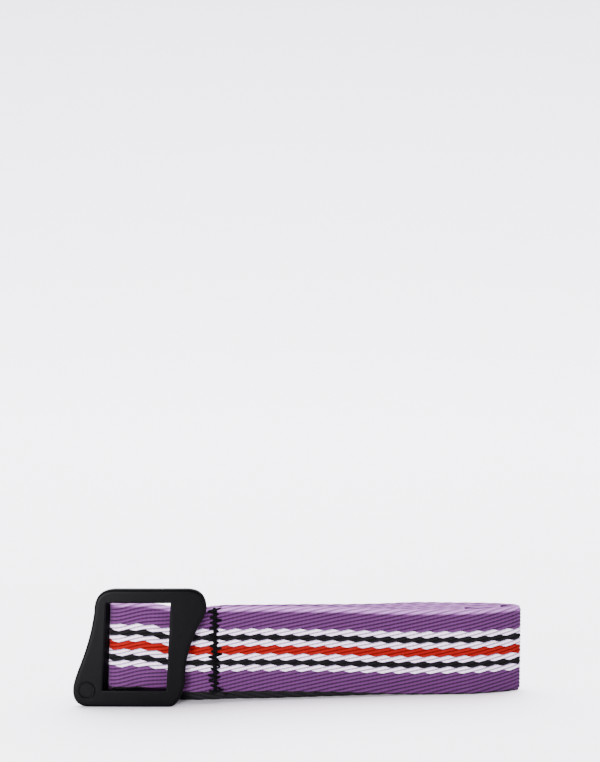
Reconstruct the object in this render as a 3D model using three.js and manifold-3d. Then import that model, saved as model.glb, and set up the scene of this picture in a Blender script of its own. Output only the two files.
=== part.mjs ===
// Canvas web belt: a striped web looped on a black plate buckle and laid in flat folds, standing on edge.
// Millimetres. X runs along the belt, Y away from the front, Z up from the surface that it stands on.
import * as THREE from 'three';
import { ConvexGeometry } from 'three/addons/geometries/ConvexGeometry.js';
import { mergeVertices } from 'three/addons/utils/BufferGeometryUtils.js';
import Module from 'manifold-3d';

const wasm = await Module();
wasm.setup();

// Web
const WEB_WIDTH = 38;
const WEB_THICKNESS = 2.2;
const SELVEDGE_CHAMFER = 0.6;
const LAYER_GAP = 0.4;
const LAYER_SLACK = 1.8;

// Folded belt
const BELT_LENGTH = 194.5;
const FRONT_RISE = 16;
const NOSE_LENGTH = 29;
const FOLD_START = 14;
const FREE_END = 18;
const SHORT_FOLD_REACH = 3;
const TAIL_END = 65.5;
const LONGEST_STEP = 7;
const SHARPEST_TURN = 0.24;

// Buckle plate
const BUCKLE_WIDTH = 57.8;
const PLATE_THICKNESS = 3.8;
const LOWER_BAR = 7.4;
const UPPER_BAR = 6.1;
const SIDE_FLARE = 9.6;
const LOWER_CORNER = { left: 7, right: 6.5 };
const UPPER_CORNER = { left: 10, right: 8.5 };
const BLUNT_CORNER = { along: 0.4, up: 1.5 };
const RIGHT_SWEEP = { lower: 0.58, upper: 0.75 };
const LEFT_SWEEP = { upper: 0.43, lower: 0.27, inset: 0.7 };
const EDGE_ROUND = 1.3;
const EDGE_ROUND_DEPTH = 1;

// Window, crossbar and ring
const WINDOW_LEFT = 12.7;
const WINDOW_WIDTH = 27.6;
const WINDOW_SLANT = 2.1;
const WINDOW_CLEARANCE = 0.3;
const CROSSBAR_RADIUS = 2;
const CROSSBAR_SIDES = 16;
const FIT_CLEARANCE = 0.4;
const FOLD_INSET = 1.6;
const LOOP_LIFT = 7.5;
const LOOP_LEAN_DEG = 2;
const LOOP_FORWARD = 1.5;
const TAIL_DROP = 2.2;
const WALL_ROOT = 2;
const WALL_FRONT = 0.9;
const WALL_BACK = 4.5;
const WALL_LIP = 0.6;
const WALL_OVERLAP = 0.4;
const WALL_GAP = 0.7;
const EAR_WIDTH = 6;
const EAR_HEIGHT = 2.8;
const EAR_EDGE = 0.3;
const RING_X = 5.8;
const RING_Z = 7.4;
const RING_RADIUS = 3.9;
const RING_WIDTH = 0.9;
const RING_HEIGHT = 0.4;

const windowHeight = WEB_WIDTH + WINDOW_CLEARANCE;
const buckleHeight = LOWER_BAR + windowHeight + UPPER_BAR;
const loopLean = THREE.MathUtils.degToRad(LOOP_LEAN_DEG);
const loopMiddle = LOOP_LIFT + WEB_WIDTH / 2;
const layerPitch = WEB_THICKNESS + LAYER_GAP;
const loopRadius = CROSSBAR_RADIUS + FIT_CLEARANCE + WEB_THICKNESS / 2;
const frontRunDepth = PLATE_THICKNESS + FIT_CLEARANCE + WEB_THICKNESS / 2;
const crossbarX = WINDOW_LEFT + WINDOW_SLANT / 2 + FOLD_INSET + loopRadius + WEB_THICKNESS / 2;
const crossbarDepth = frontRunDepth - LOOP_FORWARD + loopRadius;

// Sections of the belt from the buckle to the right end. along: share of BELT_LENGTH. rise: share of
// FRONT_RISE. lift: share of LOOP_LIFT, the lower edge's height at the loop. loop: share of the loop's
// width. tuck: layers between the front run and the next. slack: share of LAYER_SLACK.
const SECTIONS = [
  { along: 0.113, rise: -LOOP_FORWARD / FRONT_RISE, lift: 1, loop: 1, tuck: 1, slack: 0 },
  { along: 0.155, rise: -0.02, lift: 0.973, loop: 1, tuck: 1, slack: 0 },
  { along: 0.211, rise: 0.06, lift: 0.695, loop: 0.38, tuck: 1.6, slack: 0 },
  { along: 0.25, rise: 0.07, lift: 0.635, loop: 0.06, tuck: 2, slack: 0.12 },
  { along: 0.287, rise: 0.1, lift: 0.611, loop: 0, tuck: 2, slack: 0.5 },
  { along: 0.317, rise: 0.15, lift: 0.588, loop: 0, tuck: 2, slack: 0.86 },
  { along: 0.352, rise: 0.255, lift: 0.541, loop: 0, tuck: 1.75, slack: 0.86 },
  { along: 0.416, rise: 0.395, lift: 0.485, loop: 0, tuck: 1.08, slack: 0.84 },
  { along: 0.505, rise: 0.52, lift: 0.383, loop: 0, tuck: 1, slack: 0.7 },
  { along: 0.593, rise: 0.655, lift: 0.28, loop: 0, tuck: 1, slack: 0.42 },
  { along: 0.68, rise: 0.79, lift: 0.131, loop: 0, tuck: 1, slack: 0.28 },
  { along: 0.768, rise: 0.93, lift: 0.019, loop: 0, tuck: 1, slack: 0.36 },
  { along: 0.85, rise: 1, lift: 0, loop: 0, tuck: 1, slack: 0.12 },
];

// Nose at the right end. along: share of NOSE_LENGTH. across: share of the stack, front run to back run.
const OUTER_NOSE = [
  { along: 0.25, across: 0.02 },
  { along: 0.5, across: 0.14 },
  { along: 0.76, across: 0.3 },
  { along: 0.92, across: 0.44 },
  { along: 1, across: 0.59 },
  { along: 0.94, across: 0.74 },
  { along: 0.76, across: 0.86 },
  { along: 0.5, across: 0.95 },
  { along: 0.25, across: 0.99 },
];
const INNER_NOSE = [
  { along: 0.2, across: 0.78 },
  { along: 0.42, across: 0.72 },
  { along: 0.6, across: 0.665 },
  { along: 0.68, across: 0.62 },
  { along: 0.71, across: 0.56 },
  { along: 0.68, across: 0.495 },
  { along: 0.6, across: 0.45 },
  { along: 0.42, across: 0.43 },
  { along: 0.2, across: 0.53 },
];
const FOLD_ANGLES = [-90, -60, -30, 0, 30, 60, 90];
const FOLD_LEAD = 0.7;
const LEAN_FADE = 0.3;

const noseStart = SECTIONS.at(-1).along * BELT_LENGTH;

function frontRun(section) {
  return frontRunDepth + section.rise * FRONT_RISE;
}

function tuckedRun(section) {
  return frontRun(section) + section.loop * 2 * loopRadius + section.tuck * layerPitch;
}

// Layer 0 is the front run; layers 1 to 5 stand behind it.
function layerPoint(section, layer) {
  const pitch = layerPitch + section.slack * LAYER_SLACK;
  const depth = layer === 0 ? frontRun(section) : tuckedRun(section) + (layer - 1) * pitch;
  const lift = layer === 0 ? section.lift * LOOP_LIFT : 0;
  return new THREE.Vector3(section.along * BELT_LENGTH, depth, WEB_WIDTH / 2 + lift);
}

function layerRun(layer) {
  return SECTIONS.map((section) => layerPoint(section, layer));
}

// The stitched end behind the front run, from its cut end towards the buckle.
function tailRun() {
  const behind = SECTIONS.slice(1).filter(({ along }) => along * BELT_LENGTH < TAIL_END);
  const points = behind.map((section) => {
    const depth = tuckedRun(section) - layerPitch;
    const height = WEB_WIDTH / 2 + section.lift * LOOP_LIFT - TAIL_DROP;
    return new THREE.Vector3(section.along * BELT_LENGTH, depth, height);
  });
  const [before, last] = points.slice(-2);
  const cutEnd = before.clone().lerp(last, (TAIL_END - before.x) / (last.x - before.x));
  return [...points, cutEnd].reverse();
}

// The loop follows the leaning crossbar, so it drops a little towards the right.
function loopAround() {
  return FOLD_ANGLES.map((degrees) => {
    const angle = THREE.MathUtils.degToRad(degrees);
    const reach = -loopRadius * Math.cos(angle);
    const height = loopMiddle - reach * Math.tan(loopLean);
    return new THREE.Vector3(crossbarX + reach, crossbarDepth - loopRadius * Math.sin(angle), height);
  });
}

// A tight fold from one layer into the next, with a short straight lead on both sides.
function tightFold(x, side, fromDepth, toDepth) {
  const middle = (fromDepth + toDepth) / 2;
  const radius = (fromDepth - toDepth) / 2;
  const reach = side * Math.abs(radius);
  const arc = FOLD_ANGLES.map((degrees) => {
    const angle = THREE.MathUtils.degToRad(degrees);
    return [x + reach * Math.cos(angle), middle - radius * Math.sin(angle)];
  });
  const lead = x - reach * FOLD_LEAD;
  const points = [[lead, fromDepth], ...arc, [lead, toDepth]];
  return points.map(([along, depth]) => new THREE.Vector3(along, depth, WEB_WIDTH / 2));
}

function leftFold(fromLayer, toLayer) {
  const [from, to] = [fromLayer, toLayer].map((layer) => layerPoint(SECTIONS[0], layer).y);
  return tightFold(FOLD_START, -1, from, to);
}

function shortRightFold() {
  const [from, to] = [2, 1].map((layer) => layerPoint(SECTIONS.at(-1), layer).y);
  return tightFold(noseStart + SHORT_FOLD_REACH, 1, from, to);
}

function nosePoints(rows) {
  const front = layerPoint(SECTIONS.at(-1), 0).y;
  const back = layerPoint(SECTIONS.at(-1), 5).y;
  return rows.map(({ along, across }) => {
    const depth = THREE.MathUtils.lerp(front, back, across);
    return new THREE.Vector3(noseStart + along * NOSE_LENGTH, depth, WEB_WIDTH / 2);
  });
}

function freeEnd() {
  return layerPoint(SECTIONS[0], 1).setX(FREE_END);
}

function webRoute() {
  return new THREE.CatmullRomCurve3([
    ...tailRun(),
    ...loopAround(),
    ...layerRun(0).slice(1),
    ...nosePoints(OUTER_NOSE),
    ...layerRun(5).reverse(),
    ...leftFold(5, 4),
    ...layerRun(4),
    ...nosePoints(INNER_NOSE),
    ...layerRun(3).reverse(),
    ...leftFold(3, 2),
    ...layerRun(2),
    ...shortRightFold(),
    ...layerRun(1).reverse(),
    freeEnd(),
  ], false, 'centripetal');
}

// Points along the route, close together only where it turns.
function webStations() {
  const route = webRoute();
  const fine = route.getPoints(route.points.length * 12);
  const kept = [fine[0]];
  let heading = fine[1].clone().sub(fine[0]);
  for (let i = 1; i < fine.length - 1; i += 1) {
    const ahead = fine[i + 1].clone().sub(fine[i]);
    if (ahead.angleTo(heading) > SHARPEST_TURN || fine[i].distanceTo(kept.at(-1)) > LONGEST_STEP) {
      kept.push(fine[i]);
      heading = ahead;
    }
  }
  return [...kept, fine.at(-1)];
}

// The web's section, thickness by width, with chamfered selvedges.
function webSection() {
  const [x, y] = [WEB_THICKNESS / 2, WEB_WIDTH / 2];
  const [innerX, innerY] = [x - SELVEDGE_CHAMFER, y - SELVEDGE_CHAMFER];
  return [
    [x, -innerY], [x, innerY], [innerX, y], [-innerX, y],
    [-x, innerY], [-x, -innerY], [-innerX, -y], [innerX, -y],
  ];
}

function webSectionAt(stations, i) {
  const station = stations[i];
  const before = stations[Math.max(i - 1, 0)];
  const after = stations[Math.min(i + 1, stations.length - 1)];
  const lifted = (station.z - WEB_WIDTH / 2) / (LEAN_FADE * LOOP_LIFT);
  const lean = loopLean * THREE.MathUtils.clamp(lifted, 0, 1);
  const across = new THREE.Vector3(Math.sin(lean), 0, Math.cos(lean));
  const outward = after.clone().sub(before).cross(across).normalize();
  return webSection().map(([out, up]) => {
    return station.clone().addScaledVector(outward, out).addScaledVector(across, up);
  });
}

function webGeometry() {
  const stations = webStations();
  const rings = stations.map((_, i) => webSectionAt(stations, i));
  const sides = rings[0].length;
  const faces = [];
  for (let i = 0; i < rings.length - 1; i += 1) {
    for (let j = 0; j < sides; j += 1) {
      const near = [i * sides + j, i * sides + (j + 1) % sides];
      const far = near.map((index) => index + sides);
      faces.push(near[0], far[0], far[1], near[0], far[1], near[1]);
    }
  }
  const end = (rings.length - 1) * sides;
  for (let j = 1; j < sides - 1; j += 1) {
    faces.push(0, j, j + 1, end, end + j + 1, end + j);
  }
  const geometry = new THREE.BufferGeometry().setFromPoints(rings.flat());
  geometry.setIndex(faces);
  return geometry;
}

// The plate's outline: the lower left and upper right corners flare out past the window's bars. The blunt
// corner is in shares of the corner's size, the sides' sweeps in shares of the height and the flare.
function plateShape() {
  const [w, h, flare, right] = [BUCKLE_WIDTH, buckleHeight, SIDE_FLARE, BUCKLE_WIDTH - SIDE_FLARE];
  const [lower, upper] = [LOWER_CORNER, UPPER_CORNER];
  const shape = new THREE.Shape();
  shape.moveTo(lower.left, 0);
  shape.lineTo(right - lower.right, 0);
  shape.quadraticCurveTo(right - BLUNT_CORNER.along * lower.right, 0, right, BLUNT_CORNER.up * lower.right);
  shape.bezierCurveTo(right, h * RIGHT_SWEEP.lower, w, h * RIGHT_SWEEP.upper, w, h - upper.right);
  shape.quadraticCurveTo(w, h, w - upper.right, h);
  shape.lineTo(flare + upper.left, h);
  shape.quadraticCurveTo(flare, h, flare, h - upper.left);
  shape.bezierCurveTo(flare * LEFT_SWEEP.inset, h * LEFT_SWEEP.upper, 0, h * LEFT_SWEEP.lower, 0, lower.left);
  shape.quadraticCurveTo(0, 0, lower.left, 0);
  return shape;
}

function windowShape() {
  const [left, right] = [WINDOW_LEFT, WINDOW_LEFT + WINDOW_WIDTH];
  const [bottom, top] = [LOWER_BAR, LOWER_BAR + windowHeight];
  return new THREE.Shape([
    new THREE.Vector2(left, bottom), new THREE.Vector2(right, bottom),
    new THREE.Vector2(right + WINDOW_SLANT, top), new THREE.Vector2(left + WINDOW_SLANT, top),
  ]);
}

// Turns a shape drawn flat into one that stands upright, from depth front to depth back.
function standing(shape, front, back, round = 0) {
  const geometry = new THREE.ExtrudeGeometry(shape, {
    depth: back - front - 2 * EDGE_ROUND_DEPTH * Math.sign(round),
    curveSegments: 10,
    bevelEnabled: round > 0,
    bevelSize: round,
    bevelOffset: -round,
    bevelThickness: EDGE_ROUND_DEPTH,
    bevelSegments: 3,
  });
  geometry.rotateX(Math.PI / 2);
  return geometry.translate(0, back - EDGE_ROUND_DEPTH * Math.sign(round), 0);
}

function ringGeometry() {
  const ring = new THREE.Shape().absarc(RING_X, RING_Z, RING_RADIUS, 0, 2 * Math.PI);
  ring.holes.push(new THREE.Path().absarc(RING_X, RING_Z, RING_RADIUS - RING_WIDTH, 0, 2 * Math.PI, true));
  return standing(ring, -RING_HEIGHT, PLATE_THICKNESS / 2);
}

function crossbarGeometry() {
  const length = windowHeight + EAR_HEIGHT;
  const bar = new THREE.CylinderGeometry(CROSSBAR_RADIUS, CROSSBAR_RADIUS, length, CROSSBAR_SIDES);
  bar.rotateX(Math.PI / 2).rotateY(loopLean);
  return bar.translate(crossbarX, crossbarDepth, loopMiddle);
}

// An ear holds one end of the crossbar behind the plate; end is -1 below and 1 above.
function earGeometry(end) {
  const front = PLATE_THICKNESS / 2;
  const back = crossbarDepth + CROSSBAR_RADIUS + EAR_EDGE;
  const fromCentre = end * (windowHeight + EAR_HEIGHT) / 2;
  const ear = new THREE.BoxGeometry(EAR_WIDTH, back - front, EAR_HEIGHT);
  const x = crossbarX + fromCentre * Math.tan(loopLean);
  return ear.translate(x, (front + back) / 2, loopMiddle + fromCentre);
}

// The wall behind the window's left edge slopes back to the side of the loop and closes the view past it.
function windowWallGeometry() {
  const corners = [-1, 1].flatMap((end) => {
    const fromCentre = end * (windowHeight / 2 + WALL_OVERLAP);
    const z = LOWER_BAR + windowHeight / 2 + fromCentre;
    const edge = WINDOW_LEFT + WINDOW_SLANT / 2 + fromCentre * WINDOW_SLANT / windowHeight;
    const lip = crossbarX + (z - loopMiddle) * Math.tan(loopLean) - loopRadius - WALL_GAP;
    const plan = [
      [edge - WALL_ROOT, WALL_FRONT], [edge, WALL_FRONT], [lip, WALL_BACK - WALL_LIP],
      [lip, WALL_BACK], [edge - WALL_ROOT, WALL_BACK],
    ];
    return plan.map(([x, y]) => new THREE.Vector3(x, y, z));
  });
  return new ConvexGeometry(corners);
}

function toSolid(geometry) {
  geometry.deleteAttribute('normal').deleteAttribute('uv');
  const merged = mergeVertices(geometry);
  return new wasm.Manifold(new wasm.Mesh({
    numProp: 3,
    vertProperties: new Float32Array(merged.attributes.position.array),
    triVerts: new Uint32Array(merged.index.array),
  }));
}

function buckleGeometry() {
  const past = 1;
  const plate = toSolid(standing(plateShape(), 0, PLATE_THICKNESS, EDGE_ROUND));
  const cut = plate.subtract(toSolid(standing(windowShape(), -past, PLATE_THICKNESS + past)));
  const joined = [
    ringGeometry(), crossbarGeometry(), earGeometry(-1), earGeometry(1), windowWallGeometry(),
  ];
  const casting = joined.reduce((solid, part) => solid.add(toSolid(part)), cut).getMesh();
  const geometry = new THREE.BufferGeometry();
  geometry.setAttribute('position', new THREE.BufferAttribute(casting.vertProperties, 3));
  geometry.setIndex(new THREE.BufferAttribute(casting.triVerts, 1));
  return geometry;
}

function namedMesh(name, geometry, color, roughness, metalness) {
  geometry.computeVertexNormals();
  const mesh = new THREE.Mesh(geometry, new THREE.MeshStandardMaterial({ color, roughness, metalness }));
  mesh.name = name;
  return mesh;
}

// The origin is the middle of the footprint, at the height of the surface.
const belt = new THREE.Group();
belt.add(namedMesh('buckle_frame', buckleGeometry(), 0x1b1a1d, 0.45, 0.6));
belt.add(namedMesh('web_strap', webGeometry(), 0x7d5486, 0.9, 0));
const extent = new THREE.Box3().setFromObject(belt);
const middle = extent.getCenter(new THREE.Vector3());
belt.position.set(-middle.x, -middle.y, -extent.min.z);

export default belt;
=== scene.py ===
from math import cos, pi, radians, sin, tan

import bmesh
import bpy
import numpy as np
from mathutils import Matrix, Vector


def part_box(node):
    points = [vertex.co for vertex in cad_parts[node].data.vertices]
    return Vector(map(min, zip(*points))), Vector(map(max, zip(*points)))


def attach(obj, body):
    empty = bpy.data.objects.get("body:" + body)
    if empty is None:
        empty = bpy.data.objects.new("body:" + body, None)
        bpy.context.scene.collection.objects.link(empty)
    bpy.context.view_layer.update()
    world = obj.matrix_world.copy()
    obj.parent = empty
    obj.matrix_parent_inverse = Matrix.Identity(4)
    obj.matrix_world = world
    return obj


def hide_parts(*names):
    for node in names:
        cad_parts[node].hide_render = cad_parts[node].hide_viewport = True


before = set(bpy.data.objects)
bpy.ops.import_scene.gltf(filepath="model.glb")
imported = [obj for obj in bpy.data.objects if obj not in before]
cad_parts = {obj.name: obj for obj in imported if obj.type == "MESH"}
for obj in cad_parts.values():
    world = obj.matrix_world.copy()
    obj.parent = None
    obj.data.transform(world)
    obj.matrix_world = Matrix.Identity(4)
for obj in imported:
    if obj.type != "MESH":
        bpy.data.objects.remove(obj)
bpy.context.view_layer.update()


# Camera
# The belt was photographed from a little above and straight in front, with a long lens. The camera is placed
# in mm from the lower left corner of the plate's face, which lies behind the raised ring on it.
MM = 0.001
RING_HEIGHT = 0.5
CAMERA_PLACE = Vector((97.85, -905.9, 257.6))
CAMERA_DOWN, CAMERA_LENS, CAMERA_SENSOR = 7.29, 102.18, 36
buckle_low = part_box("buckle_frame")[0]
belt_corner = Vector((buckle_low.x, buckle_low.y + RING_HEIGHT * MM, 0))
camera_data = bpy.data.cameras.new("camera")
camera_data.lens = CAMERA_LENS
camera_data.sensor_width = CAMERA_SENSOR
camera = bpy.data.objects.new("camera", camera_data)
camera.location = belt_corner + CAMERA_PLACE * MM
camera.rotation_euler = (radians(90 - CAMERA_DOWN), 0, 0)
bpy.context.scene.collection.objects.link(camera)
bpy.context.scene.camera = camera


# Backdrop paper
# One length of pale matte paper under the belt and up behind it in a wide curve. It stays smooth and even,
# so it shows only the soft shadow round the belt.
def linear(hex_colour):
    """An sRGB hex colour as linear red, green, blue and 1."""
    channels = [int(hex_colour[i:i + 2], 16) / 255 for i in (1, 3, 5)]
    return [c / 12.92 if c <= 0.04045 else ((c + 0.055) / 1.055) ** 2.4 for c in channels] + [1.0]


def add_node(tree, kind, links=(), **settings):
    """Adds one node. links pairs its inputs with the outputs that feed them, and settings sets its inputs,
    with _ for a space, or its fields."""
    node = tree.nodes.new(kind)
    for name, value in settings.items():
        socket = name.replace("_", " ")
        if socket in node.inputs:
            node.inputs[socket].default_value = value
        else:
            setattr(node, name, value)
    for socket, source in links:
        tree.links.new(source, node.inputs[socket])
    return node


def new_material(name, **surface_settings):
    """A material of one Principled surface with these settings, with its node tree."""
    material = bpy.data.materials.new(name)
    material.use_nodes = True
    tree = material.node_tree
    surface = tree.nodes["Principled BSDF"]
    for socket, value in surface_settings.items():
        surface.inputs[socket.replace("_", " ")].default_value = value
    return material, tree, surface


def mesh_object(name, points, faces, materials):
    """A smooth shaded object of a mesh given in metres."""
    mesh = bpy.data.meshes.new(name)
    mesh.from_pydata(np.asarray(points).tolist(), [], faces)
    for material in materials:
        mesh.materials.append(material)
    mesh.polygons.foreach_set("use_smooth", np.ones(len(faces), bool))
    piece = bpy.data.objects.new(name, mesh)
    bpy.context.scene.collection.objects.link(piece)
    return piece


PAPER_FRONT, PAPER_BACK, PAPER_HALF_WIDTH = -1.6, 1.0, 2.4
PAPER_CURVE, PAPER_CURVE_STEPS, PAPER_TOP = 0.8, 24, 2.6
paper_profile = [(PAPER_FRONT, 0.0), (PAPER_BACK, 0.0)]
paper_profile += [(PAPER_BACK + PAPER_CURVE * sin(a), PAPER_CURVE * (1 - cos(a)))
                  for a in np.linspace(0, pi / 2, PAPER_CURVE_STEPS + 1)[1:]]
paper_profile += [(PAPER_BACK + PAPER_CURVE, PAPER_TOP)]
paper_points = [(side * PAPER_HALF_WIDTH, y, z) for y, z in paper_profile for side in (-1, 1)]
paper_faces = [(2 * i, 2 * i + 1, 2 * i + 3, 2 * i + 2) for i in range(len(paper_profile) - 1)]
paper, _, _ = new_material(
    "matte_backdrop_paper", Base_Color=linear("#f4edf7"), Roughness=0.75, Specular_IOR_Level=0.3)
mesh_object("backdrop", paper_points, paper_faces, [paper])


# Lights
# A wide softbox over and a little behind the belt, which makes its upper edges the brightest, a low one at
# each side of its face, and an even wash on the paper behind.
def softbox(name, place, target, size, power):
    """A soft rectangular light aimed at a point, in metres and watts, that the camera doesn't see."""
    data = bpy.data.lights.new(name, "AREA")
    data.shape = "RECTANGLE"
    data.size, data.size_y = size
    data.energy = power
    lamp = bpy.data.objects.new(name, data)
    lamp.location = place
    lamp.visible_camera = False
    lamp.rotation_euler = (Vector(target) - Vector(place)).to_track_quat("-Z", "Y").to_euler()
    bpy.context.scene.collection.objects.link(lamp)


softbox("overhead_softbox", (0.0, 0.6, 1.2), (0, 0.1, 0), (3.2, 1.8), 185)
softbox("left_softbox", (-0.3, -0.5, 0.06), (-0.06, 0, 0.03), (0.22, 0.1), 11)
softbox("right_softbox", (0.8, -0.6, 0.16), (0.0, 0, 0.03), (0.5, 0.25), 5)
softbox("paper_wash", (0, 0.5, 2.2), (0, 1.9, 0.9), (2.6, 0.9), 30)
surround = bpy.data.worlds.new("soft_surround")
surround.use_nodes = True
surround_light = surround.node_tree.nodes["Background"]
surround_light.inputs["Color"].default_value = linear("#f3f2f6")
surround_light.inputs["Strength"].default_value = 0.45
bpy.context.scene.world = surround


# Plate buckle
# One zinc alloy casting: a plate with two flared corners and a slanted window, a plain raised ring in its
# lower left corner, and behind it a wall at the window's left edge and two ears that hold the crossbar. It
# is tumbled until its edges are soft, then coated satin black.
WEB_WIDTH, WEB_THICKNESS = 38.0, 2.2
BUCKLE_WIDTH, BUCKLE_HEIGHT, PLATE_THICKNESS, SIDE_FLARE = 57.8, 51.8, 3.8, 9.6
LOWER_LEFT, LOWER_RIGHT, UPPER_RIGHT, UPPER_LEFT = 7.0, 6.5, 8.5, 10.0
BLUNT_ALONG, BLUNT_UP = 0.4, 1.5
RIGHT_LOWER, RIGHT_UPPER, LEFT_UPPER, LEFT_LOWER, LEFT_INSET = 0.58, 0.75, 0.43, 0.27, 0.7
WINDOW_LEFT, WINDOW_WIDTH, WINDOW_SLANT, WINDOW_BOTTOM, WINDOW_HEIGHT = 12.7, 27.6, 2.1, 7.4, 38.3
OUTLINE_STEPS, SIDE_RAYS, FACE_ROWS = 40, 96, 8
ROUND_WIDTH, ROUND_DEPTH, WINDOW_ROUND, FACE_BOW = 1.3, 1.0, 0.35, 0.8
QUARTER = np.linspace(0, pi / 2, 5)


def bezier(*handles):
    """Points of a Bezier curve, without its last one."""
    points = np.array(handles, float)[:, None]
    t = np.linspace(0, 1, OUTLINE_STEPS, endpoint=False)[:, None]
    while len(points) > 1:
        points = points[:-1] * (1 - t) + points[1:] * t
    return points[0]


def plate_outline():
    """The plate's outline seen from the front, round from its lower left corner to the right and up."""
    w, h, right, left = BUCKLE_WIDTH, BUCKLE_HEIGHT, BUCKLE_WIDTH - SIDE_FLARE, SIDE_FLARE
    blunt_top = BLUNT_UP * LOWER_RIGHT
    return np.vstack([
        bezier((LOWER_LEFT, 0), (right - LOWER_RIGHT, 0)),
        bezier((right - LOWER_RIGHT, 0), (right - BLUNT_ALONG * LOWER_RIGHT, 0), (right, blunt_top)),
        bezier((right, blunt_top), (right, h * RIGHT_LOWER), (w, h * RIGHT_UPPER), (w, h - UPPER_RIGHT)),
        bezier((w, h - UPPER_RIGHT), (w, h), (w - UPPER_RIGHT, h)),
        bezier((w - UPPER_RIGHT, h), (left + UPPER_LEFT, h)),
        bezier((left + UPPER_LEFT, h), (left, h), (left, h - UPPER_LEFT)),
        bezier((left, h - UPPER_LEFT), (left * LEFT_INSET, h * LEFT_UPPER), (0, h * LEFT_LOWER),
               (0, LOWER_LEFT)),
        bezier((0, LOWER_LEFT), (0, 0), (LOWER_LEFT, 0)),
    ])


window_middle = np.array([
    WINDOW_LEFT + (WINDOW_WIDTH + WINDOW_SLANT) / 2, WINDOW_BOTTOM + WINDOW_HEIGHT / 2])
slant = np.array([WINDOW_HEIGHT, -WINDOW_SLANT]) / np.hypot(WINDOW_HEIGHT, WINDOW_SLANT)
window_normals = np.array([slant, -slant, (0, 1), (0, -1)])
window_reach = np.array([WINDOW_WIDTH * slant[0]] * 2 + [WINDOW_HEIGHT] * 2) / 2


def window_at(angles, grow):
    """Points on the window's edge, moved out by grow, in these directions from its middle."""
    rays = np.stack([np.cos(angles), np.sin(angles)], 1)
    facing = np.maximum(rays @ window_normals.T, 1e-9)
    return window_middle + rays * ((window_reach + grow) / facing).min(1)[:, None]


def plate_rays():
    """Directions from the window's middle, as many between one corner and the next on each side."""
    corners = [np.linalg.solve(window_normals[[side, end]], window_reach[[side, end]])
               for side in (0, 1) for end in (2, 3)]
    turns = sorted(np.arctan2(z, x) for x, z in corners)
    return np.concatenate([np.linspace(start, end, SIDE_RAYS, endpoint=False)
                           for start, end in zip(turns, [*turns[1:], turns[0] + 2 * pi])])


def face_bow(x):
    """How far back the plate's face lies at x: it is bowed a little, and stands out most in its middle."""
    return FACE_BOW * (2 * x / BUCKLE_WIDTH - 1) ** 2


def row_quads(spans, count, ring):
    """Quads of the first spans between count rows of points, each a closed ring of its own."""
    i, j = np.divmod(np.arange(spans * ring), ring)
    below, beside = (i + 1) % count, (j + 1) % ring
    return np.stack([i * ring + j, below * ring + j, below * ring + beside, i * ring + beside], 1).tolist()


def closed_rows(rows):
    """Points and quads of a closed ring of rows, each of them closed as well."""
    return np.concatenate(rows), row_quads(len(rows), len(rows), len(rows[0]))


def plate():
    """The plate with its window: rows from the window over the face and the outer edge to the back."""
    outline = plate_outline()
    own_angles = np.arctan2(*(outline - window_middle).T[::-1])
    angles = plate_rays()
    edge = np.stack([np.interp(angles, own_angles, outline[:, k], period=2 * pi) for k in (0, 1)], 1)
    tangent = np.roll(edge, -2, 0) - np.roll(edge, 2, 0)
    outward = np.stack([tangent[:, 1], -tangent[:, 0]], 1) / np.linalg.norm(tangent, axis=1)[:, None]
    inner = [(window_at(angles, WINDOW_ROUND * (1 - cos(a))), WINDOW_ROUND * (1 - sin(a))) for a in QUARTER]
    outer = [(edge - outward * ROUND_WIDTH * (1 - sin(a)), ROUND_DEPTH * (1 - cos(a))) for a in QUARTER]
    lip, brow = inner[-1][0], outer[0][0]
    face = [(lip + (brow - lip) * share, 0) for share in np.linspace(0, 1, FACE_ROWS + 2)[1:-1]]
    back = [(points, PLATE_THICKNESS - depth) for points, depth in outer[::-1] + inner[::-1]]
    rows = []
    for points, depth in inner + face + outer + back:
        y = depth + face_bow(points[:, 0]) * (1 - depth / PLATE_THICKNESS)
        rows.append(np.stack([points[:, 0], y, points[:, 1]], 1))
    return closed_rows(rows)


# The raised ring has a half round section and its foot is sunk in the plate's face.
RING_X, RING_Z, RING_RADIUS, RING_WIDTH, RING_STEPS, RING_SIDES = 5.8, 7.4, 3.9, 0.9, 96, 12


def raised_ring():
    """The ring as rows that run round it, one for each side of its section."""
    turn = np.linspace(0, 2 * pi, RING_STEPS, endpoint=False)
    rows = []
    for a in np.linspace(0, 2 * pi, RING_SIDES, endpoint=False):
        radius = RING_RADIUS - RING_WIDTH / 2 * (1 - cos(a))
        x, z = RING_X + radius * np.cos(turn), RING_Z + radius * np.sin(turn)
        rows.append(np.stack([x, face_bow(x) - RING_HEIGHT * sin(a), z], 1))
    return closed_rows(rows)


SAME_PLANE, ROUND_SEGMENTS, ROUND_PROFILE = radians(2), 3, 0.5


def soft_hull(corners, round_size):
    """Points and faces of the solid round these corners, with its edges rounded off."""
    block = bmesh.new()
    for corner in corners:
        block.verts.new(corner)
    bmesh.ops.convex_hull(block, input=block.verts)
    bmesh.ops.dissolve_limit(block, angle_limit=SAME_PLANE, verts=block.verts, edges=block.edges)
    bmesh.ops.bevel(block, geom=block.edges[:], offset=round_size, segments=ROUND_SEGMENTS,
                    profile=ROUND_PROFILE, affect="EDGES")
    block.verts.index_update()
    points = np.array([vertex.co for vertex in block.verts])
    faces = [[vertex.index for vertex in face.verts] for face in block.faces]
    block.free()
    return points, faces


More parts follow.
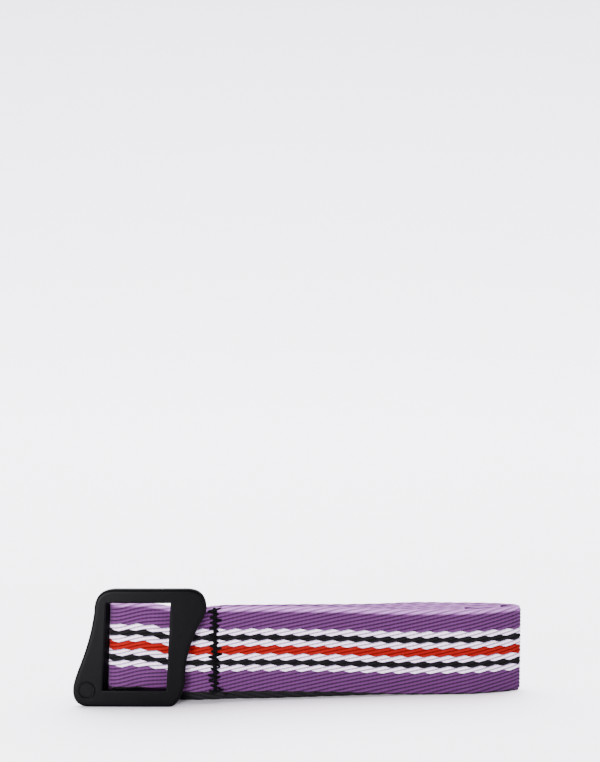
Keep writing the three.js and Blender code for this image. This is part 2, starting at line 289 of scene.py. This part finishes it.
# The web loops round the crossbar lifted, leaning and forward of the front run, so the bar, its ears and the
# wall beside it are placed from the loop.
CROSSBAR_RADIUS, FIT_CLEARANCE, CROSSBAR_X, CROSSBAR_STEPS, CROSSBAR_ROUND = 2.0, 0.4, 19.95, 48, 0.5
EAR_WIDTH, EAR_HEIGHT, EAR_EDGE, EAR_ROUND = 6.0, 2.8, 0.3, 0.7
LOOP_LIFT, LOOP_LEAN, LOOP_FORWARD, TAIL_DROP = 7.5, radians(2), 1.5, 2.2
WALL_ROOT, WALL_FRONT, WALL_BACK, WALL_LIP, WALL_OVERLAP, WALL_GAP = 2.0, 0.9, 4.5, 0.6, 0.4, 0.7
WALL_ROUND = 0.25
loop_radius = CROSSBAR_RADIUS + FIT_CLEARANCE + WEB_THICKNESS / 2
front_depth = PLATE_THICKNESS + FIT_CLEARANCE + WEB_THICKNESS / 2
crossbar_depth = front_depth - LOOP_FORWARD + loop_radius
loop_middle = LOOP_LIFT + WEB_WIDTH / 2
ear_reach = (WINDOW_HEIGHT + EAR_HEIGHT) / 2


def ear(end):
    """The ear that holds one end of the crossbar; end is -1 below and 1 above."""
    x, z = CROSSBAR_X + end * ear_reach * tan(LOOP_LEAN), loop_middle + end * ear_reach
    back = crossbar_depth + CROSSBAR_RADIUS + EAR_EDGE
    return soft_hull([(x + i * EAR_WIDTH / 2, y, z + j * EAR_HEIGHT / 2)
                      for i in (-1, 1) for y in (PLATE_THICKNESS / 2, back) for j in (-1, 1)], EAR_ROUND)


def window_wall():
    """The wall that slopes back from the window's left edge to the side of the looped web."""
    corners = []
    for end in (-1, 1):
        from_middle = end * (WINDOW_HEIGHT / 2 + WALL_OVERLAP)
        z = WINDOW_BOTTOM + WINDOW_HEIGHT / 2 + from_middle
        edge = WINDOW_LEFT + WINDOW_SLANT * (0.5 + from_middle / WINDOW_HEIGHT)
        lip = CROSSBAR_X + (z - loop_middle) * tan(LOOP_LEAN) - loop_radius - WALL_GAP
        plan = [(edge - WALL_ROOT, WALL_FRONT), (edge, WALL_FRONT), (lip, WALL_BACK - WALL_LIP),
                (lip, WALL_BACK), (edge - WALL_ROOT, WALL_BACK)]
        corners += [(x, y, z) for x, y in plan]
    return soft_hull(corners, WALL_ROUND)


def crossbar():
    """The round bar between the ears, with its ends rounded off inside them."""
    turn = np.linspace(0, 2 * pi, CROSSBAR_STEPS, endpoint=False)
    profile = [(CROSSBAR_RADIUS - CROSSBAR_ROUND, -ear_reach), (CROSSBAR_RADIUS, CROSSBAR_ROUND - ear_reach)]
    profile += [(radius, -along_bar) for radius, along_bar in profile[::-1]]
    rows = [np.stack([
        CROSSBAR_X + along_bar * tan(LOOP_LEAN) + radius * np.cos(turn),
        crossbar_depth + radius * np.sin(turn),
        np.full(CROSSBAR_STEPS, loop_middle + along_bar)], 1) for radius, along_bar in profile]
    points = np.concatenate(rows)
    ends = [[*range(CROSSBAR_STEPS)], [*range(len(points) - CROSSBAR_STEPS, len(points))]]
    return points, row_quads(len(rows) - 1, len(rows), CROSSBAR_STEPS) + ends


# A thin baked powder coat on the casting. It hides the metal's colour, is satin with a faint orange peel
# about 1.5 mm from crest to crest, and is smoother in patches where the web and fingers have rubbed it.
satin_coat, coat_tree, coat_surface = new_material(
    "satin_black_powder_coat", Base_Color=linear("#020203"), Roughness=0.38, Specular_IOR_Level=0.03)
coat_place = add_node(coat_tree, "ShaderNodeTexCoord")
coat_peel = add_node(coat_tree, "ShaderNodeTexNoise", [("Vector", coat_place.outputs["Object"])],
                     Scale=700.0, Detail=2.0)
coat_rub = add_node(coat_tree, "ShaderNodeTexNoise", [("Vector", coat_place.outputs["Object"])],
                    Scale=90.0, Detail=3.0)
coat_gloss = add_node(coat_tree, "ShaderNodeMapRange", [("Value", coat_rub.outputs["Fac"])],
                      From_Min=0.3, From_Max=0.7, To_Min=0.34, To_Max=0.44)
coat_tree.links.new(coat_gloss.outputs["Result"], coat_surface.inputs["Roughness"])
coat_bump = add_node(coat_tree, "ShaderNodeBump", [("Height", coat_peel.outputs["Fac"])],
                     Strength=0.25, Distance=0.00003)
coat_tree.links.new(coat_bump.outputs["Normal"], coat_surface.inputs["Normal"])


def buckle_piece(name, shells):
    """One coated piece of closed shells, given in mm from the belt's corner."""
    points, faces, count = [], [], 0
    for shell_points, shell_faces in shells:
        points.append(shell_points)
        faces += [[index + count for index in face] for face in shell_faces]
        count += len(shell_points)
    piece = mesh_object(name, np.concatenate(points) * MM + np.array(belt_corner), faces, [satin_coat])
    shape = bmesh.new()
    shape.from_mesh(piece.data)
    bmesh.ops.recalc_face_normals(shape, faces=shape.faces)
    shape.to_mesh(piece.data)
    shape.free()
    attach(piece, "root")
    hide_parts("buckle_frame")


buckle_piece("buckle_plate", [plate(), raised_ring(), ear(-1), ear(1), window_wall()])
buckle_piece("buckle_crossbar", [crossbar()])


# Canvas web
# One heavy warp-faced web of cotton in a two-up two-down twill, 38 mm wide and about 2.2 mm thick, with
# black yarns on its back. It loops round the buckle's crossbar, runs right, turns at the nose and is laid
# back in flat folds. It is drawn in four stretches, which meet end to end.
LAYER_GAP, LAYER_SLACK = 0.4, 1.8
BELT_LENGTH, FRONT_RISE, NOSE_LENGTH = 194.5, 16.0, 29.0
FOLD_START, FREE_END, SHORT_FOLD_REACH, TAIL_END = 14.0, 18.0, 3.0, 65.5
LEAN_FADE, FOLD_LEAD = 0.3, 0.7
FOLD_ANGLES = np.radians([-90, -60, -30, 0, 30, 60, 90])
layer_pitch = WEB_THICKNESS + LAYER_GAP

# along, rise, lift, loop, tuck and slack of each section of the folded belt, as shares of the sizes above
SECTIONS = np.array([
    (0.113, -LOOP_FORWARD / FRONT_RISE, 1, 1, 1, 0),
    (0.155, -0.02, 0.973, 1, 1, 0),
    (0.211, 0.06, 0.695, 0.38, 1.6, 0),
    (0.25, 0.07, 0.635, 0.06, 2, 0.12),
    (0.287, 0.1, 0.611, 0, 2, 0.5),
    (0.317, 0.15, 0.588, 0, 2, 0.86),
    (0.352, 0.255, 0.541, 0, 1.75, 0.86),
    (0.416, 0.395, 0.485, 0, 1.08, 0.84),
    (0.505, 0.52, 0.383, 0, 1, 0.7),
    (0.593, 0.655, 0.28, 0, 1, 0.42),
    (0.68, 0.79, 0.131, 0, 1, 0.28),
    (0.768, 0.93, 0.019, 0, 1, 0.36),
    (0.85, 1, 0, 0, 1, 0.12),
])
# along the nose and across the stack of layers, as shares of NOSE_LENGTH and of the stack
OUTER_NOSE = np.array([
    (0.25, 0.02), (0.5, 0.14), (0.76, 0.3), (0.92, 0.44), (1, 0.59), (0.94, 0.74), (0.76, 0.86), (0.5, 0.95),
    (0.25, 0.99),
])
INNER_NOSE = np.array([
    (0.2, 0.78), (0.42, 0.72), (0.6, 0.665), (0.68, 0.62), (0.71, 0.56), (0.68, 0.495), (0.6, 0.45),
    (0.42, 0.43), (0.2, 0.53),
])
along, rise, lift, loop, tuck, slack = SECTIONS.T
nose_start = along[-1] * BELT_LENGTH
front_run = front_depth + rise * FRONT_RISE
tucked_run = front_run + loop * 2 * loop_radius + tuck * layer_pitch


def route_row(x, y, z):
    """Route points from lists or single values of their coordinates."""
    return np.stack(np.broadcast_arrays(x, y, z), 1)


def layer_run(layer):
    """Points of one layer from the buckle to the nose; layer 0 is the front run."""
    if layer == 0:
        return route_row(along * BELT_LENGTH, front_run, WEB_WIDTH / 2 + lift * LOOP_LIFT)
    pitch = layer_pitch + slack * LAYER_SLACK
    return route_row(along * BELT_LENGTH, tucked_run + (layer - 1) * pitch, WEB_WIDTH / 2)


def tail_run():
    """The stitched end behind the front run, from its cut end towards the buckle."""
    points = route_row(
        along * BELT_LENGTH, tucked_run - layer_pitch, WEB_WIDTH / 2 + lift * LOOP_LIFT - TAIL_DROP)
    points = points[(points[:, 0] < TAIL_END) & (along > along[0])]
    before, last = points[-2:]
    cut_end = before + (last - before) * (TAIL_END - before[0]) / (last[0] - before[0])
    return np.vstack([points, cut_end])[::-1]


def loop_around():
    """The fold round the leaning crossbar, from its back to its front."""
    reach = -loop_radius * np.cos(FOLD_ANGLES)
    height = loop_middle - reach * tan(LOOP_LEAN)
    return route_row(CROSSBAR_X + reach, crossbar_depth - loop_radius * np.sin(FOLD_ANGLES), height)


def tight_fold(x, side, start, end):
    """A tight fold from one layer's depth into the next, with a short straight lead on both sides."""
    radius = (start - end) / 2
    reach = side * abs(radius)
    lead = x - reach * FOLD_LEAD
    xs = np.concatenate([[lead], x + reach * np.cos(FOLD_ANGLES), [lead]])
    ys = np.concatenate([[start], (start + end) / 2 - radius * np.sin(FOLD_ANGLES), [end]])
    return route_row(xs, ys, WEB_WIDTH / 2)


def nose(shares):
    """A turn at the nose, from the front run's depth to the back run's."""
    front, back = layer_run(0)[-1, 1], layer_run(5)[-1, 1]
    depth = front + shares[:, 1] * (back - front)
    return route_row(nose_start + shares[:, 0] * NOSE_LENGTH, depth, WEB_WIDTH / 2)


def left_fold(start, end):
    """The fold behind the buckle from one layer into the next."""
    return tight_fold(FOLD_START, -1, layer_run(start)[0, 1], layer_run(end)[0, 1])


short_fold = tight_fold(nose_start + SHORT_FOLD_REACH, 1, layer_run(2)[-1, 1], layer_run(1)[-1, 1])
free_end = route_row([FREE_END], layer_run(1)[0, 1], WEB_WIDTH / 2)
route_parts = [
    tail_run(), loop_around(), layer_run(0)[1:], nose(OUTER_NOSE), layer_run(5)[::-1], left_fold(5, 4),
    layer_run(4), nose(INNER_NOSE), layer_run(3)[::-1], left_fold(3, 2), layer_run(2), short_fold,
    layer_run(1)[::-1], free_end,
]
TAIL, LOOP, FRONT, NOSE, BACK = range(5)
part_ends = np.cumsum([len(part) for part in route_parts])
CURVE_STEPS = 48


def centripetal(points, steps=CURVE_STEPS):
    """A centripetal Catmull-Rom curve through the points, with this many samples to a stretch."""
    padded = np.vstack([2 * points[0] - points[1], points, 2 * points[-1] - points[-2]])
    t = np.linspace(0, 1, steps, endpoint=False)[:, None]
    stretches = []
    for p0, p1, p2, p3 in zip(padded, padded[1:], padded[2:], padded[3:]):
        d0, d1, d2 = (np.sqrt(np.linalg.norm(b - a)) for a, b in ((p0, p1), (p1, p2), (p2, p3)))
        out = ((p1 - p0) / d0 - (p2 - p0) / (d0 + d1) + (p2 - p1) / d1) * d1
        into = ((p2 - p1) / d1 - (p3 - p1) / (d1 + d2) + (p3 - p2) / d2) * d1
        bend, twist = 3 * (p2 - p1) - 2 * out - into, 2 * (p1 - p2) + out + into
        stretches.append(p1 + out * t + bend * t**2 + twist * t**3)
    return np.vstack(stretches + [points[-1:]])


route = centripetal(np.vstack(route_parts))
route_length = np.concatenate([[0], np.cumsum(np.linalg.norm(np.diff(route, axis=0), axis=1))])


def length_to(part):
    """The length of web up to the end of a part of the route."""
    return route_length[(part_ends[part] - 1) * CURVE_STEPS]


TANGENT_STEP = 0.35


def on_route(s):
    """Places, outward and across directions of the web at lengths s."""
    place, ahead, behind = (
        np.stack([np.interp(s + shift, route_length, route[:, k]) for k in range(3)], 1)
        for shift in (0, TANGENT_STEP, -TANGENT_STEP)
    )
    lean = LOOP_LEAN * np.clip((place[:, 2] - WEB_WIDTH / 2) / (LEAN_FADE * LOOP_LIFT), 0, 1)
    across = route_row(np.sin(lean), 0, np.cos(lean))
    outward = np.cross(ahead - behind, across)
    return place, outward / np.linalg.norm(outward, axis=1)[:, None], across


# Thread spacing: 0.41 mm from one warp end to the next, and 1.78 mm from one pick to the next. A warp end
# floats over two picks and dips under two, and its neighbours do the same one pick later. Each float spreads
# over the ends that dip beside it. Its half length is in picks and its half width in ends.
END_PITCH, PICK_PITCH = 0.41, 1.78
FLOAT_HALF_LENGTH, FLOAT_HALF_WIDTH, FIRST_PICK = 1.5, 1.65, 1.33
FLOAT_HEIGHT, FLOAT_BASE = 0.75, -0.6
CREASE_HEIGHT, CREST_NARROWING = 0.58, 1.8


def twill(s, w):
    """Height from 0 to 1 and warp end of the twill at length s and width w, in mm."""
    nearest = np.round(w / END_PITCH)
    best, owner = np.zeros(np.broadcast(s, w).shape), nearest + 0 * s
    for step in (-2, -1, 0, 1, 2):
        end = nearest + step
        picks = (s / PICK_PITCH + FIRST_PICK - end + 2) % 4 - 2
        along_float = np.clip(1 - (picks / FLOAT_HALF_LENGTH) ** 2, 0, 1)
        off = (w / END_PITCH - end) / FLOAT_HALF_WIDTH
        height = np.sqrt(along_float * np.clip(1 - off**2, 0, 1))
        owner = np.where(height > best, end, owner)
        best = np.maximum(best, height)
    return best, owner


# The yarns' colour is painted darker in the twill's creases, as their shade, by the share below.
def crest_share(height):
    """How much of a crest lies at this height: 0 in a crease, 1 along the middle of a float."""
    return np.clip((height - CREASE_HEIGHT) / (1 - CREASE_HEIGHT), 0, 1) ** CREST_NARROWING


# The section is a flat band that thins to round selvedges. q runs round it in mm from the middle of the
# face. The face's yarns go nearly round the upper selvedge. The black back's come round the lower one and
# make it dark, as painted shade along the belt's foot.
SELVEDGE_ROUND = 2.4
selvedge_arc = pi / 2 * np.hypot(WEB_THICKNESS / 2, SELVEDGE_ROUND) / 2**0.5
flat_half = WEB_WIDTH / 2 - SELVEDGE_ROUND
half_section = flat_half + selvedge_arc
BACK_DETAIL, PLAIN_ROWS, TOP_WRAP, PAINTED_SHADE_FOOT_WRAP = 3.0, 7, 0.9, -0.45


def section_rows(fine):
    """Rows round half the section, close together on the face and the selvedge, wide on the plain back."""
    face = np.arange(0, half_section, fine)
    back_edge = np.arange(half_section, half_section + selvedge_arc + BACK_DETAIL, fine)
    back = np.linspace(half_section + selvedge_arc + BACK_DETAIL, 2 * half_section, PLAIN_ROWS)
    return np.concatenate([face, back_edge, back])


def section_place(q):
    """Where q lies: its distance out from the web's middle and up, and its normal's out and up shares."""
    r = np.abs(q)
    angle = np.clip((r - flat_half) / selvedge_arc, 0, 2) * pi / 2
    out, past_flat = WEB_THICKNESS / 2 * np.cos(angle), SELVEDGE_ROUND * np.sin(angle)
    up = np.clip(np.minimum(r, 2 * half_section - r), 0, flat_half) + past_flat
    normal = np.stack([out * SELVEDGE_ROUND**2, past_flat * (WEB_THICKNESS / 2) ** 2])
    normal_out, normal_up = normal / np.linalg.norm(normal, axis=0)
    return out, np.sign(q) * up, normal_out, np.sign(q) * normal_up


# A painted highlight: the yarns are painted pale over the last millimetres of the upper selvedge, and
# less in their creases.
PAINTED_HIGHLIGHT_WIDTH, PAINTED_HIGHLIGHT_FADE, PAINTED_HIGHLIGHT_CREASE = 2.8, 0.8, 0.3


def painted_highlight_share(q, crown):
    """How far the painted highlight turns the yarns pale at q, where the twill is this high."""
    past = q - (half_section - PAINTED_HIGHLIGHT_WIDTH)
    return np.clip(past / PAINTED_HIGHLIGHT_FADE, 0, 1) * (PAINTED_HIGHLIGHT_CREASE + (1 - PAINTED_HIGHLIGHT_CREASE) * crest_share(crown))


# Where the colour ramp ends in the yarn's painted crease shade.
PAINTED_SHADE_TONE = 0.05


def spun_cotton(name, colour, crease_shade, sheen, sheen_tint, painted_highlight_colour):
    """Ring-spun cotton yarn, dyed before weaving: matte, with fine fibres along it and a soft pale fuzz. Its
    colour has painted shade in the twill's creases and a painted highlight along the web's upper edge."""
    material, tree, surface = new_material(
        name, Roughness=0.85, Specular_IOR_Level=0.05, Sheen_Weight=sheen, Sheen_Roughness=0.4,
        Sheen_Tint=linear(sheen_tint))
    thread = add_node(tree, "ShaderNodeUVMap", uv_map="thread")
    # Fibres lie along the yarn: about 3 mm long in view and 0.25 mm from one to the next.
    fibre_place = add_node(tree, "ShaderNodeMapping", [("Vector", thread.outputs["UV"])],
                           Scale=(330, 4000, 1))
    fibres = add_node(tree, "ShaderNodeTexNoise", [("Vector", fibre_place.outputs["Vector"])], Scale=1.0,
                      Detail=2.0)
    # The crown attribute takes the colour towards the painted shade in the twill's creases.
    crown = add_node(tree, "ShaderNodeAttribute", attribute_name="crown")
    lit = add_node(tree, "ShaderNodeMath", [(0, crown.outputs["Fac"]), (1, fibres.outputs["Fac"])],
                   operation="MULTIPLY_ADD")
    tree.links.new(crown.outputs["Fac"], lit.inputs[2])
    ramp = add_node(tree, "ShaderNodeValToRGB", [("Fac", lit.outputs["Value"])])
    painted_shade_end, crest_end = ramp.color_ramp.elements
    painted_shade_end.position, painted_shade_end.color = PAINTED_SHADE_TONE, linear(crease_shade)
    crest_end.color = linear(colour)
    # Painted highlight: the colour is mixed towards a pale one along the upper selvedge.
    painted_highlight = add_node(tree, "ShaderNodeAttribute", attribute_name="painted_highlight")
    painted_highlight_mix = add_node(tree, "ShaderNodeMixRGB", [
        ("Fac", painted_highlight.outputs["Fac"]), ("Color1", ramp.outputs["Color"])], Color2=linear(painted_highlight_colour))
    tree.links.new(painted_highlight_mix.outputs["Color"], surface.inputs["Base Color"])
    bump = add_node(tree, "ShaderNodeBump", [("Height", fibres.outputs["Fac"])],
                    Strength=0.4, Distance=0.00008)
    tree.links.new(bump.outputs["Normal"], surface.inputs["Normal"])
    return material


# Each yarn: its colour, its painted crease shade, its sheen and sheen tint, and its painted highlight
# colour.
cottons = [
    spun_cotton("purple_cotton_yarn", "#422147", "#200e23", 0.12, "#dcb6e8", "#9a6aa6"),
    spun_cotton("white_cotton_yarn", "#cdbcd3", "#665d72", 0.12, "#fbf2ff", "#d6c5dc"),
    spun_cotton("black_cotton_yarn", "#0b0a0c", "#030304", 0.01, "#c9c6d0", "#1a181b"),
    spun_cotton("red_cotton_yarn", "#680705", "#460403", 0.0, "#ff9a8c", "#8a3a36"),
    spun_cotton("black_backing_yarn", "#121113", "#050506", 0.03, "#c9c6d0", "#1a181b"),
]
PURPLE, WHITE, BLACK, RED, BACKING = range(5)
# The last warp end of each stripe from the middle out; the purple goes on past the edge.
STRIPES = [(4.5, RED), (10.5, WHITE), (16.5, BLACK), (22.5, WHITE), (99, PURPLE)]
stripe_edges, stripe_yarns = zip(*STRIPES)


def lay_flat(piece, places):
    """Gives each point its place on the flat web or along a thread, in mm, as UVs in metres."""
    corners = np.empty(len(piece.data.loops), np.int32)
    piece.data.loops.foreach_get("vertex_index", corners)
    piece.data.uv_layers.new(name="thread").data.foreach_set("uv", (places[corners] * MM).reshape(-1))


def web_stretch(name, start, end, step, rows):
    """A closed stretch of web from length start to length end, with its yarns raised on it."""
    s = np.linspace(start, end, max(2, round((end - start) / step)) + 1)
    q = np.concatenate([rows, -rows[-2:0:-1]])
    place, outward, across = on_route(s)
    out, up, normal_out, normal_up = section_place(q)
    # The black back's yarns round the lower selvedge are painted shade along the foot of the belt.
    on_face = np.abs(q) <= half_section + np.where(q > 0, TOP_WRAP, PAINTED_SHADE_FOOT_WRAP) * selvedge_arc
    w = np.where(on_face, q, np.sign(q) * (2 * half_section - np.abs(q)))
    # The back shows the ends that the face hides, so its floats lie two picks along.
    crown, owner = twill(s[:, None] + np.where(on_face, 0, 2 * PICK_PITCH), w[None, :])
    raised = FLOAT_BASE + FLOAT_HEIGHT * crown
    raised_out, raised_up = out + raised * normal_out, up + raised * normal_up
    points = (place[:, None] + outward[:, None] * raised_out[..., None]
              + across[:, None] * raised_up[..., None])
    points[..., 2] = np.maximum(points[..., 2], 0.0)
    # Each end is closed with triangles to a point in the web's middle.
    columns, ring = crown.shape
    points = np.concatenate([points.reshape(-1, 3), place[[0, -1]]]) * MM + np.array(belt_corner)
    first, last, far = columns * ring, columns * ring + 1, (columns - 1) * ring
    caps = [cap for k, beside in enumerate([*range(1, ring), 0])
            for cap in ((first, k, beside), (last, far + beside, far + k))]
    piece = mesh_object(name, points, row_quads(columns - 1, columns, ring) + caps, cottons)
    stripe = np.digitize(np.abs(owner), stripe_edges[:-1])
    yarns = np.where(on_face, np.array(stripe_yarns)[stripe], BACKING)
    slots = np.concatenate([yarns[:-1].reshape(-1), np.full(len(caps), BLACK)])
    piece.data.polygons.foreach_set("material_index", slots.astype(np.int32))
    # The painted highlight along the upper selvedge, on the face only.
    painted_highlight = np.where(on_face, painted_highlight_share(q, crown), 0)
    # crown carries the painted shade of the creases, and the other attribute the painted highlight.
    for attribute, shares in (("crown", crest_share(crown)), ("painted_highlight", painted_highlight)):
        piece.data.attributes.new(attribute, "FLOAT", "POINT").data.foreach_set(
            "value", np.concatenate([shares.reshape(-1), [0, 0]]))
    flat = np.stack(np.broadcast_arrays(s[:, None], w[None, :]), -1).reshape(-1, 2)
    lay_flat(piece, np.concatenate([flat, [[start, 0], [end, 0]]]))
    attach(piece, "root")
    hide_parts("web_strap")


# The yarns are sampled finely where they are seen, and more coarsely on the back and the hidden inner folds.
# Two of the stretches meet behind the plate's right bar, where the seam doesn't show.
FINE_ROW, FINE_STEP = END_PITCH / 2, PICK_PITCH / 4
BACK_STEP, INNER_STEP = 1.2 * FINE_STEP, 2.3 * FINE_STEP
RIGHT_BAR_X = 45.5
front_points = slice((part_ends[LOOP] - 1) * CURVE_STEPS, (part_ends[FRONT] - 1) * CURVE_STEPS)
behind_right_bar = np.interp(RIGHT_BAR_X, route[front_points, 0], route_length[front_points])
nose_tip = (length_to(FRONT) + length_to(NOSE)) / 2
web_stretch("web_buckle_loop", 0, behind_right_bar, FINE_STEP, section_rows(FINE_ROW))
web_stretch("web_front_run", behind_right_bar, nose_tip, FINE_STEP, section_rows(FINE_ROW))
web_stretch("web_back_run", nose_tip, length_to(BACK), BACK_STEP, section_rows(FINE_ROW))
web_stretch("web_inner_folds", length_to(BACK), route_length[-1], INNER_STEP, section_rows(END_PITCH))


# Bar tack
# Black polyester thread, sewn by machine across the front run and the fixed end behind it: straight passes
# under an uneven zigzag, which pulls into the web at its points. A cut end sticks out at the foot.
TACK_X, TACK_LEAN, TACK_TOP, TACK_FOOT = 60.9, 0.034, 18.6, -18.4
THREAD_RADIUS, THREAD_SIDES, THREAD_STEPS = 0.42, 8, 6
BED_PASSES, BED_STEPS, BED_RISE, BED_UNEVEN = (-0.45, 0.0, 0.45), 12, 0.1, 0.1
SPIKE_COUNT, SPIKE_SHORT, SPIKE_LONG, SPIKE_UNEVEN = 30, 1.3, 2.9, 0.2
# one spike's points: shares of its reach, steps up the tack and rise over the web's crests
SPIKE = [(0.97, 0.15, -0.1), (1, 0, -0.1), (0.5, -0.3, 0.45), (-0.2, -0.7, 0.45)]
# the cut end's points: lengths past the tack, steps up from its foot and rise
CUT_END = [(-1.2, 0.3, -0.3), (-1.7, -0.2, 0.3), (-0.4, -0.1, 0.6), (1.6, 0.6, 0.7), (3.4, 1.4, 0.5)]
web_crest = WEB_THICKNESS / 2 + FLOAT_BASE + FLOAT_HEIGHT
tack_length = np.interp(TACK_X, route[front_points, 0], route_length[front_points])
uneven = np.random.default_rng(11)

sewing_thread, sewing_tree, sewing_surface = new_material(
    "black_polyester_thread", Base_Color=linear("#020203"), Roughness=0.6, Specular_IOR_Level=0.03)
# Its twisted plies show as slanted ridges 0.8 mm apart. Real ones are closer, and too fine to show here.
ply_place = add_node(sewing_tree, "ShaderNodeUVMap", uv_map="thread")
plies = add_node(sewing_tree, "ShaderNodeTexWave", [("Vector", ply_place.outputs["UV"])],
                 bands_direction="DIAGONAL", Scale=530.0)
ply_bump = add_node(sewing_tree, "ShaderNodeBump", [("Height", plies.outputs["Fac"])],
                    Strength=0.6, Distance=0.00006)
sewing_tree.links.new(ply_bump.outputs["Normal"], sewing_surface.inputs["Normal"])


def sewn_thread(name, path):
    """A round thread along a path of lengths past the tack, widths and rises over the web's crests."""
    run, w, over = centripetal(np.array(path), THREAD_STEPS).T
    place, outward, across = on_route(tack_length - TACK_LEAN * w + run)
    middle = place + outward * (web_crest + over)[:, None] + across * w[:, None]
    heading = np.gradient(middle, axis=0)
    heading /= np.linalg.norm(heading, axis=1)[:, None]
    side = np.cross(heading, outward)
    side /= np.linalg.norm(side, axis=1)[:, None]
    top = np.cross(side, heading)
    turn = np.linspace(0, 2 * pi, THREAD_SIDES, endpoint=False)[None, :, None]
    points = middle[:, None] + THREAD_RADIUS * (side[:, None] * np.cos(turn) + top[:, None] * np.sin(turn))
    points = points.reshape(-1, 3) * MM + np.array(belt_corner)
    count = len(middle)
    ends = [[*range(THREAD_SIDES)][::-1], [*range((count - 1) * THREAD_SIDES, count * THREAD_SIDES)]]
    quads = row_quads(count - 1, count, THREAD_SIDES)
    piece = mesh_object(name, points, quads + ends, [sewing_thread])
    length = np.concatenate([[0], np.cumsum(np.linalg.norm(np.diff(middle, axis=0), axis=1))])
    girth = np.arange(THREAD_SIDES) * 2 * pi * THREAD_RADIUS / THREAD_SIDES
    lay_flat(piece, np.stack([np.repeat(length, THREAD_SIDES), np.tile(girth, count)], 1))
    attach(piece, "root")


bed = []
for k, offset in enumerate(BED_PASSES):
    climb = np.linspace(TACK_FOOT, TACK_TOP, BED_STEPS)[::(-1) ** k]
    bed += [(offset + uneven.normal(0, BED_UNEVEN), w, BED_RISE) for w in climb]
sewn_thread("tack_bed", bed)
zigzag = []
for k, w in enumerate(np.linspace(TACK_TOP, TACK_FOOT, SPIKE_COUNT)):
    reach = (-1) ** k * uneven.uniform(SPIKE_SHORT, SPIKE_LONG)
    w += uneven.normal(0, SPIKE_UNEVEN)
    zigzag += [(reach * share, w + step, over) for share, step, over in SPIKE]
sewn_thread("tack_zigzag", zigzag)
sewn_thread("tack_cut_end", [(run, TACK_FOOT + step, over) for run, step, over in CUT_END])
